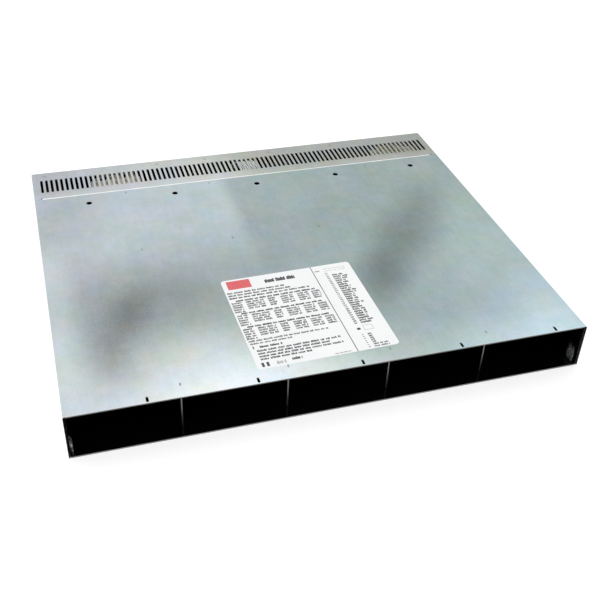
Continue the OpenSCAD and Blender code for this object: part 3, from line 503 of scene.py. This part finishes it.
def print_ink(name, tint, fade):
    """Printed ink that is a little thin in places."""
    finish, tree, shader = new_finish(name, 0.0, 0.45, tint)
    point = place_on_shelf(tree)
    thin = step_between(tree, cloud(tree, point, 700, 3, 0.6), 0.35, 0.75)
    wire_up(tree, shader.inputs["Base Color"], blend_of(tree, thin, tint, fade))
    return finish


finishes = {
    "top": zinc_top(),
    "rear": zinc_rear(),
    "tray": zinc_tray(),
    "zinc_sheet": zinc_plain("zinc_sheet", 0.70, 0.38, 0.55),
    "zinc_inner": zinc_plain("zinc_inner", 0.62, 0.42, 0.55),
    "divider": zinc_divider(),
    "scuffed_guide": scuffed_guide(),
    # Black film lining the bays, a painted shade.
    "black_film": painted_shade_film(),
    "black_moulding": moulded("black_moulding", (0.012, 0.012, 0.014), 0.42),
    "board": circuit_board(),
    "tinned_copper": plain_metal("tinned_copper", (0.60, 0.60, 0.56), 0.32),
    "tinned_brass": plain_metal("tinned_brass", (0.62, 0.62, 0.58), 0.28),
    "screw_steel": plain_metal("screw_steel", (0.42, 0.43, 0.43), 0.34),
    "cream_moulding": moulded("cream_moulding", (0.80, 0.75, 0.60), 0.48, 0.12),
    "cream_wire": insulated("cream_wire", (0.80, 0.75, 0.62)),
    "earth_wire": earth_insulation(),
    "white_wire": insulated("white_wire", (0.90, 0.92, 0.90)),
    "black_wire": insulated("black_wire", (0.012, 0.012, 0.013)),
    "label_film": label_vinyl(),
    "print_black": print_ink("print_black", (0.035, 0.035, 0.04), (0.09, 0.09, 0.10)),
    "print_red": print_ink("print_red", (0.70, 0.105, 0.115), (0.76, 0.15, 0.16)),
}

own_finish = {
    "top_cover": "top", "rear_cover": "rear", "base_tray": "tray",
    "entry_guide_left": "scuffed_guide", "entry_guide_right": "scuffed_guide",
    **{f"divider_{number}": "divider" for number in range(1, 5)},
}
slots = {part["node"]: part["material_slot"] for part in frame["record"]["subparts"]}
for node_name, node in nodes.items():
    node.data.materials.clear()
    node.data.materials.append(finishes[own_finish.get(node_name, slots[node_name])])


# ---- New pieces ----

def add_piece(name, points, faces, finish, smooth=False, stands_for=()):
    """Puts arrays of points and faces into a mesh that rides on the shelf."""
    mesh = bpy.data.meshes.new(name)
    mesh.from_pydata(np.asarray(points).tolist(), [], [list(face) for face in faces])
    mesh.polygons.foreach_set("use_smooth", np.full(len(mesh.polygons), smooth))
    mesh.materials.append(finishes[finish])
    mesh.update()
    piece = bpy.data.objects.new(name, mesh)
    bpy.context.scene.collection.objects.link(piece)
    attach(piece, "root")
    if stands_for:
        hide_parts(*stands_for)
    return piece


def slabs(low, high):
    """Boxes from two arrays of corners. A corner of a box takes each part from low or from high."""
    pick = np.array([[0, 0, 0], [1, 0, 0], [1, 1, 0], [0, 1, 0],
                     [0, 0, 1], [1, 0, 1], [1, 1, 1], [0, 1, 1]])
    points = np.where(pick[None] == 0, low[:, None], high[:, None]).reshape(-1, 3)
    sides = np.array([[0, 3, 2, 1], [4, 5, 6, 7], [0, 1, 5, 4],
                      [1, 2, 6, 5], [2, 3, 7, 6], [3, 0, 4, 7]])
    faces = (sides[None] + 8 * np.arange(len(low))[:, None, None]).reshape(-1, 4)
    return points, faces


def cubic(start, first, second, end, rings=48):
    """Cubic curve from start to end, drawn toward the two points between.

    With t from 0 to 1, the four points are weighted by (1-t)^3, 3t(1-t)^2, 3t^2(1-t) and t^3."""
    t = np.linspace(0, 1, rings)[:, None]
    start, first, second, end = np.array([start, first, second, end])
    return ((1 - t) ** 3 * start + 3 * t * (1 - t) ** 2 * first
            + 3 * t ** 2 * (1 - t) * second + t ** 3 * end)


stripe_turn = 0.012  # length of earth wire over which its stripes wind round once


def swept_tube(path, radius, sides=14):
    """Circle carried along a path: centre plus radius times cosine across and sine upward.

    The winding at a point is its angle on the circle plus a turn for each stripe_turn of length."""
    along = np.gradient(path, axis=0)
    along /= np.linalg.norm(along, axis=1)[:, None]
    steep = np.abs(along[:, 2]).max() >= 0.93
    up = np.array([0.37, 0.0, 0.93] if steep else [0.0, 0.0, 1.0])
    across = np.cross(along, up)
    across /= np.linalg.norm(across, axis=1)[:, None]
    lift = np.cross(across, along)
    turn = np.arange(sides) * 2 * math.pi / sides
    points = (path[:, None] + radius * (np.cos(turn)[None, :, None] * across[:, None]
                                        + np.sin(turn)[None, :, None] * lift[:, None]))
    rings = len(path)
    ring, side = np.meshgrid(np.arange(rings - 1) * sides, np.arange(sides), indexing="ij")
    beside = (side + 1) % sides
    quads = np.stack([ring + sides + side, ring + sides + beside, ring + beside, ring + side], -1)
    faces = quads.reshape(-1, 4).tolist()
    faces.append(list(range(sides)))
    faces.append(list(range(rings * sides - 1, (rings - 1) * sides - 1, -1)))
    step = np.linalg.norm(np.diff(path, axis=0), axis=1)
    run = np.concatenate([[0], np.cumsum(step)])
    winding = (turn[None, :] + run[:, None] * 2 * math.pi / stripe_turn).ravel()
    return points.reshape(-1, 3), faces, winding


def bundle(name, paths, radius, slot_name, stands_for):
    """Several tubes in one mesh."""
    points, faces, windings, count = [], [], [], 0
    for path in paths:
        tube, tube_faces, winding = swept_tube(path, radius)
        faces += [[corner + count for corner in face] for face in tube_faces]
        count += len(tube)
        points.append(tube)
        windings.append(winding)
    piece = add_piece(name, np.concatenate(points), faces, slot_name, True, stands_for)
    record = piece.data.attributes.new("winding", "FLOAT", "POINT")
    record.data.foreach_set("value", np.concatenate(windings).astype(np.float32))
    return piece


# ---- Camera ----

def set_camera(target, azimuth, elevation, roll, distance, across, upward, lens):
    """Looks at the target from the azimuth and elevation, rolled, and moved in its own plane."""
    azimuth, elevation, roll = (math.radians(angle) for angle in (azimuth, elevation, roll))
    level = math.cos(elevation)
    look = Vector((-math.sin(azimuth) * level, math.cos(azimuth) * level, -math.sin(elevation)))
    level_right = Vector((math.cos(azimuth), math.sin(azimuth), 0))
    level_up = level_right.cross(look)
    right = level_right * math.cos(roll) + level_up * math.sin(roll)
    up = level_up * math.cos(roll) - level_right * math.sin(roll)
    camera = bpy.data.objects.new("camera", bpy.data.cameras.new("camera"))
    bpy.context.scene.collection.objects.link(camera)
    camera.data.lens = lens
    camera.data.sensor_width = 36
    camera.data.clip_start = 0.01
    camera.matrix_world = Matrix((
        (right.x, up.x, -look.x, 0), (right.y, up.y, -look.y, 0),
        (right.z, up.z, -look.z, 0), (0, 0, 0, 1)))
    camera.location = target - look * distance + right * across + up * upward
    bpy.context.scene.camera = camera


set_camera(Vector((0, (shelf_front + rear_high.y) / 2, shelf_top / 2)), azimuth=-18.066,
           elevation=36.805, roll=2.386, distance=0.8878, across=0.01917, upward=-0.03777, lens=54.37)


# ---- Label ----

label_turn, label_corner = math.radians(1.5), 0.0035


def size_before_turning(box, turn, radius):
    """Width and depth of a sheet with round corners, from the box around the turned sheet.

    Between the centres of its corner arcs the sheet is w by d. The box less two radii is then
    w cos + d sin wide and w sin + d cos deep, and these two lines are solved for w and d. The
    sizes are rounded to 0.1 mm, because the frame's arcs are made of short straight pieces."""
    cosine, sine = math.cos(turn), math.sin(turn)
    inner = np.linalg.solve([[cosine, sine], [sine, cosine]], np.array(box) - 2 * radius)
    return np.round(inner + 2 * radius, 4)


label_wide, label_deep = size_before_turning(
    (label_high - label_low)[:2], label_turn, label_corner)
label_mid = (label_low + label_high) / 2
sheet_top = label_high.z - 0.00002
ink_bottom = sheet_top - 0.000005


def on_label(across, down, height):
    """From mm across and down from the label's upper left corner to the shelf's frame."""
    right = np.asarray(across) * MM - label_wide / 2
    back = label_deep / 2 - np.asarray(down) * MM
    cosine, sine = math.cos(label_turn), math.sin(label_turn)
    return np.stack([label_mid.x + cosine * right - sine * back,
                     label_mid.y + sine * right + cosine * back,
                     np.broadcast_to(height, right.shape)], -1)


def rounded_outline(wide, deep, radius, steps=8):
    """Corner arcs one after another: a corner's centre plus the radius at angles of its quarter."""
    quarter = np.linspace(0, math.pi / 2, steps)
    angle = (quarter[None] + np.arange(4)[:, None] * math.pi / 2).ravel()
    sign = np.array([[1, 1], [-1, 1], [-1, -1], [1, -1]]).repeat(steps, 0)
    corner = np.array([wide / 2 - radius, deep / 2 - radius])
    return sign * corner + radius * np.stack([np.cos(angle), np.sin(angle)], 1)


def label_sheet():
    """A thin plate: its outline at two heights, with the rows joined by quads and closed by caps."""
    ring = rounded_outline(label_wide, label_deep, label_corner)
    count = len(ring)
    across, down = (ring[:, 0] + label_wide / 2) / MM, (label_deep / 2 - ring[:, 1]) / MM
    points = np.concatenate([on_label(across, down, label_low.z),
                             on_label(across, down, sheet_top)])
    corner = np.arange(count)
    beside = (corner + 1) % count
    sides = np.stack([corner, beside, count + beside, count + corner], 1).tolist()
    faces = sides + [list(range(count - 1, -1, -1)), list(range(count, 2 * count))]
    add_piece("label_sheet", points, faces, "label_film", stands_for=("label",))


def ink_slabs(name, boxes, finish):
    """Thin inked slabs from rows of left, top, right and bottom in mm on the label."""
    boxes = np.asarray(boxes, float)
    left, top, right, bottom = boxes.T
    zero = np.zeros(len(boxes))
    points, faces = slabs(np.stack([left, -bottom, zero], 1), np.stack([right, -top, zero + 1], 1))
    heights = np.where(points[:, 2] > 0.5, label_high.z, ink_bottom)
    placed = on_label(points[:, 0], -points[:, 1], heights)
    add_piece(name, placed, faces, finish)


rng = np.random.default_rng(41)


def dashed_line(left, right, middle, height=1.9, solid=0.74, pitch=None):
    """Meaningless marks in place of a line of print.

    Strokes stand at an even pitch, which is half the height if none is given. Every few strokes
    one is left out as the gap between two words. A stroke has the full height or eight tenths of
    it, and its width is about the solid share of the pitch."""
    pitch = pitch or height * 0.5
    start = np.arange(left, right - pitch, pitch)
    count = len(start)
    gap = np.cumsum(rng.integers(4, 9, count))
    keep = ~np.isin(np.arange(count), gap[gap < count])
    tall = rng.random(count) < 0.4
    wide = pitch * np.clip(solid + rng.uniform(-0.12, 0.12, count), 0.25, 0.96)
    low = np.full(count, middle + height / 2)
    high = low - np.where(tall, height, 0.8 * height)
    return np.stack([start, high, start + wide, low], 1)[keep]


def block_lines(left, right, first, last, count, height=2.3, solid=0.76):
    """Several lines of marks at an even pitch from the first to the last."""
    return [dashed_line(left, right, middle, height, solid)
            for middle in np.linspace(first, last, count)]


def thin_frame(left, top, right, bottom, wide=0.25):
    """The four bars of an empty box."""
    return [[left, top, right, top + wide], [left, bottom - wide, right, bottom],
            [left, top + wide, left + wide, bottom - wide],
            [right - wide, top + wide, right, bottom - wide]]


def label_print():
    """Fields of marks laid out as on a rating label: a title, lines, three tables and a side panel."""
    # The title and three lines under it.
    rows = [dashed_line(39, 68.5, 9.8, 5.4, 0.97, 1.3)]
    for right, middle in ((55.5, 20), (59.5, 23.9), (76.5, 27.8)):
        rows.append(dashed_line(1.6, right, middle, 2.4, 0.8))
    # Three tables, each with a heading, a column of row names and five columns of values.
    for head in (32.4, 51.0, 70.2):
        rows.append(dashed_line(6, 80.5, head, 2.3, 0.9))
        rows += block_lines(1.6, 11.5, head + 2.9, head + 15.6, 5)
        for left, right in ((14.5, 30.8), (34.5, 42.4), (46, 58.6), (61.5, 72), (75, 83.4)):
            rows += block_lines(left, right, head + 3.5, head + 12.6, 4)
    # Two notes, a heading with a paragraph of four lines, and a small line at the foot.
    rows.append(dashed_line(2, 72.8, 89.4, 2.2))
    rows.append(dashed_line(2.4, 41, 93, 2.1))
    rows.append(dashed_line(9, 28.8, 98.2, 2.6, 0.92))
    for right, middle in ((79.8, 102.9), (69.4, 106.5), (79.5, 110.1), (50.5, 113.7)):
        rows.append(dashed_line(5.4, right, middle, 2.4, 0.8))
    rows.append(dashed_line(66.5, 82, 123.4, 1.2, 0.6))
    # The side panel: a column of numbers beside a column of names, and more lines at its foot.
    rows.append(dashed_line(87.6, 92.5, 8.2, 1.4))
    rows += block_lines(96, 99.6, 13, 66, 20, 1.8, 0.6)
    rows += block_lines(96, 99.8, 69, 90, 8, 1.9, 0.8)
    for middle in np.linspace(17, 90, 24):
        rows.append(dashed_line(101.8, 112.2 + 4.5 * rng.random() ** 2, middle, 2.5, 0.82))
    rows += block_lines(96.6, 118, 6.2, 9.4, 2, 1.2, 0.3)
    rows += block_lines(96.6, 98.8, 106, 122.6, 7, 1.5, 0.6)
    rows += block_lines(101.8, 105.6, 106, 117, 5)
    rows += block_lines(101.8, 115.5, 120, 123, 2, 1.9)
    # Two small marks at the foot of the main part.
    rows.append(dashed_line(17.2, 25.6, 120.8, 4.2, 0.4, 0.9))
    rows.append(dashed_line(30.4, 40, 119.4, 3.4, 0.85, 0.9))
    side_rule = [[85.5, 0, 86.2, 125.4]]
    small_blocks = [[4.4, 118, 6.6, 123.2], [8.6, 118, 10.8, 123.2],
                    [3.2, 96, 4.2, 99.6], [95.4, 96.6, 98.4, 99.4]]
    fields = side_rule + small_blocks + thin_frame(101.5, 94.2, 109.6, 100.8)
    ink_slabs("label_lines", np.concatenate(rows), "print_black")
    ink_slabs("label_fields", fields, "print_black")
    ink_slabs("label_red_block", [[4.4, 2.4, 26, 15]], "print_red")


label_sheet()
label_print()


# ---- Inner wires ----

feed_radius, signal_radius, power_radius = 0.0011, 0.0009, 0.0013
ways_per_block = 5


def feed_routes(block_name):
    """From each way of a terminal block over the upper rail to the backplane."""
    low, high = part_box(block_name)
    pitch = (high.x - low.x) / ways_per_block
    clamp_y = low.y + (high.y - low.y) / 4 + 0.003
    clamp_z = low.z + 0.0076 + feed_radius
    over_z = rail_top + 0.0009 + feed_radius
    for way in range(ways_per_block):
        x = low.x + (way + 0.5) * pitch
        yield cubic((x, clamp_y, clamp_z), (x, low.y - 0.004, clamp_z),
                    (x + 0.001, board_back + 0.008, over_z),
                    (x + 0.001, board_back + 0.0003, over_z))


def earth_routes():
    """Three leads from the rear panel's fold, up and across the top of the right block."""
    low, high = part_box("terminal_block_right")
    x, over_z = low.x, high.z + 0.0014
    start_y, bend_y = panel_low.y - 0.0012, low.y + 0.7 * (high.y - low.y)
    for lead in range(3):
        yield cubic((x + 0.003 + 0.004 * lead, start_y, over_z - 0.008),
                    (x + 0.004 + 0.007 * lead, start_y, over_z + 0.0035),
                    (x + 0.018 + 0.009 * lead, bend_y, over_z),
                    (x + 0.012 + 0.011 * lead, low.y + 0.004, over_z))


def signal_routes():
    """Eight leads from the backplane, high under the vents, to the upper signal socket.

    Each is two cubic stretches that meet level at the roof, one rising and one falling."""
    low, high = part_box("signal_shells")
    middle, roof = (low.x + high.x) / 2, shelf_top - 0.0026
    start_z = rail_top + 0.0006 + signal_radius
    top_y = panel_high.y - 0.034
    end_y, end_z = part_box("signal_inserts")[0].y - 0.0012, (low.z + high.z) / 2 + 0.0085
    for lead in range(8):
        start_x = middle + 0.0205 - 0.0026 * lead
        top_x = middle + 0.0195 - 0.0026 * lead
        end_x = middle + 0.0090 - 0.0023 * lead
        rise = cubic((start_x, board_back + 0.0005, start_z), (start_x, board_back + 0.012, start_z),
                     (top_x, top_y - 0.014, roof), (top_x, top_y, roof), rings=32)
        fall = cubic((top_x, top_y, roof), (top_x, top_y + 0.014, roof),
                     (end_x + 0.001, top_y + 0.026, roof), (end_x, end_y, end_z), rings=32)
        yield np.concatenate([rise, fall[1:]])


def jumper_routes(block_name):
    """Loops that link the ways behind a terminal block, lying up under the vents.

    Each link names its two ways, how far it reaches back and how high it rises, in mm. The ends
    stand in a grid, two side by side and the next two above them, in each way's entry."""
    low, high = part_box(block_name)
    pitch = (high.x - low.x) / ways_per_block
    apart, above = 0.0024, 0.0023
    links = ((0, 4, 17.0, 12.5), (0, 2, 12.5, 12.8), (2, 4, 12.0, 12.0), (1, 3, 7.5, 12.0),
             (0, 3, 15.0, 9.5), (1, 4, 14.5, 10.5), (0, 1, 17.0, 11.0), (1, 2, 17.5, 8.5),
             (2, 3, 17.0, 6.5), (3, 4, 17.0, 11.5), (2, 3, 9.5, 9.5), (0, 1, 9.0, 10.0),
             (3, 4, 9.5, 10.0))
    used = [0] * ways_per_block
    for first, second, reach, rise in links:
        ends = []
        for way in (first, second):
            layer, side = divmod(used[way], 2)
            used[way] += 1
            ends.append((low.x + (way + 0.5) * pitch + (side - 0.5) * apart,
                         low.z + 0.0062 + above * layer))
        (left, left_z), (right, right_z) = ends
        start, back, top = high.y - 0.002, high.y + reach * MM, low.z + 0.0085 + rise * MM
        yield cubic((left, start, left_z), (left - 0.001, back, top),
                    (right + 0.001, back, top), (right, start, right_z), rings=32)


def inlet_routes():
    """One lead from each inlet's power blade, low along the compartment to a terminal block."""
    left_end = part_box("terminal_block_left")[1].x + 0.0003
    right_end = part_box("terminal_block_right")[0].x - 0.0003
    start_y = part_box("inlet_blades")[0].y - 0.001
    turn_y = start_y - 0.42 * (start_y - board_back - 0.004)
    for number in range(5):
        low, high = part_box(f"ac_inlet_{number + 1}")
        x, z = (low.x + high.x) / 2 - 0.0065, (low.z + high.z) / 2 - 0.0035
        if number < 2:
            end_x, beside_x, end_z = left_end, left_end + 0.008, 0.014 - 0.005 * number
        else:
            end_x, beside_x, end_z = right_end, right_end - 0.008, 0.004 * number
        yield cubic((x, start_y, z), (x, turn_y - 0.002, z),
                    (beside_x, turn_y, end_z), (end_x, turn_y, end_z))


for side in ("left", "right"):
    bundle(f"feed_leads_{side}", feed_routes(f"terminal_block_{side}"), feed_radius,
           "cream_wire", (f"feed_wires_{side}",))
for side in ("left", "right"):
    bundle(f"jumpers_{side}", jumper_routes(f"terminal_block_{side}"), feed_radius,
           "cream_wire", ())
bundle("earth_leads", earth_routes(), feed_radius, "earth_wire", ("earth_wires",))
bundle("signal_leads", signal_routes(), signal_radius, "white_wire", ("signal_wires",))
bundle("power_leads", inlet_routes(), power_radius, "black_wire", ("inlet_leads",))


# ---- Floor, light and background ----

def seen_by(tree, first, *others):
    """1 for a light path of any of the named kinds, and 0 for the rest."""
    path = tree.nodes.new("ShaderNodeLightPath")
    seen = path.outputs[first]
    for other in others:
        seen = worked_out(tree, "MAXIMUM", seen, path.outputs[other])
    return seen


def pale_floor():
    """A flat disc just under the shelf: one face whose corners stand evenly on a circle."""
    corners, reach, floor_z = 96, 4.0, -0.0004
    angle = np.arange(corners) * 2 * math.pi / corners
    points = np.stack([reach * np.cos(angle), reach * np.sin(angle),
                       np.full(corners, floor_z)], 1)
    mesh = bpy.data.meshes.new("floor")
    mesh.from_pydata(points.tolist(), [], [list(range(corners))])
    floor = bpy.data.objects.new("floor", mesh)
    bpy.context.scene.collection.objects.link(floor)
    paint, tree, shader = new_finish("floor_paint", 0.0, 0.9, (0.88, 0.88, 0.88),
                                     Specular_IOR_Level=0.0)
    shader.inputs["Emission Color"].default_value = (1, 1, 1, 1)
    seen = seen_by(tree, "Is Camera Ray", "Is Glossy Ray")
    wire_up(tree, shader.inputs["Emission Strength"], product(tree, seen, 0.30))
    mesh.materials.append(paint)


def soft_light():
    """An even pale room and one large lamp from the front left."""
    world = bpy.data.worlds.new("room")
    bpy.context.scene.world = world
    world.use_nodes = True
    tree = world.node_tree
    back = tree.nodes["Background"]
    back.inputs["Color"].default_value = (1, 1, 1, 1)
    seen = seen_by(tree, "Is Camera Ray", "Is Glossy Ray", "Is Transmission Ray")
    wire_up(tree, back.inputs["Strength"], step_between(tree, seen, 0, 1, 0.78, 1.0, smooth=False))
    lamp = bpy.data.lights.new("key", "AREA")
    lamp.shape = "DISK"
    lamp.size = 4.2
    lamp.energy = 126
    key = bpy.data.objects.new("key", lamp)
    bpy.context.scene.collection.objects.link(key)
    key.location = (-2.4, -3.0, 5.1)
    key.rotation_euler = (Vector((0, 0, 0)) - key.location).to_track_quat("-Z", "Y").to_euler()


pale_floor()
soft_light()
bpy.context.scene.view_settings.view_transform = "Standard"
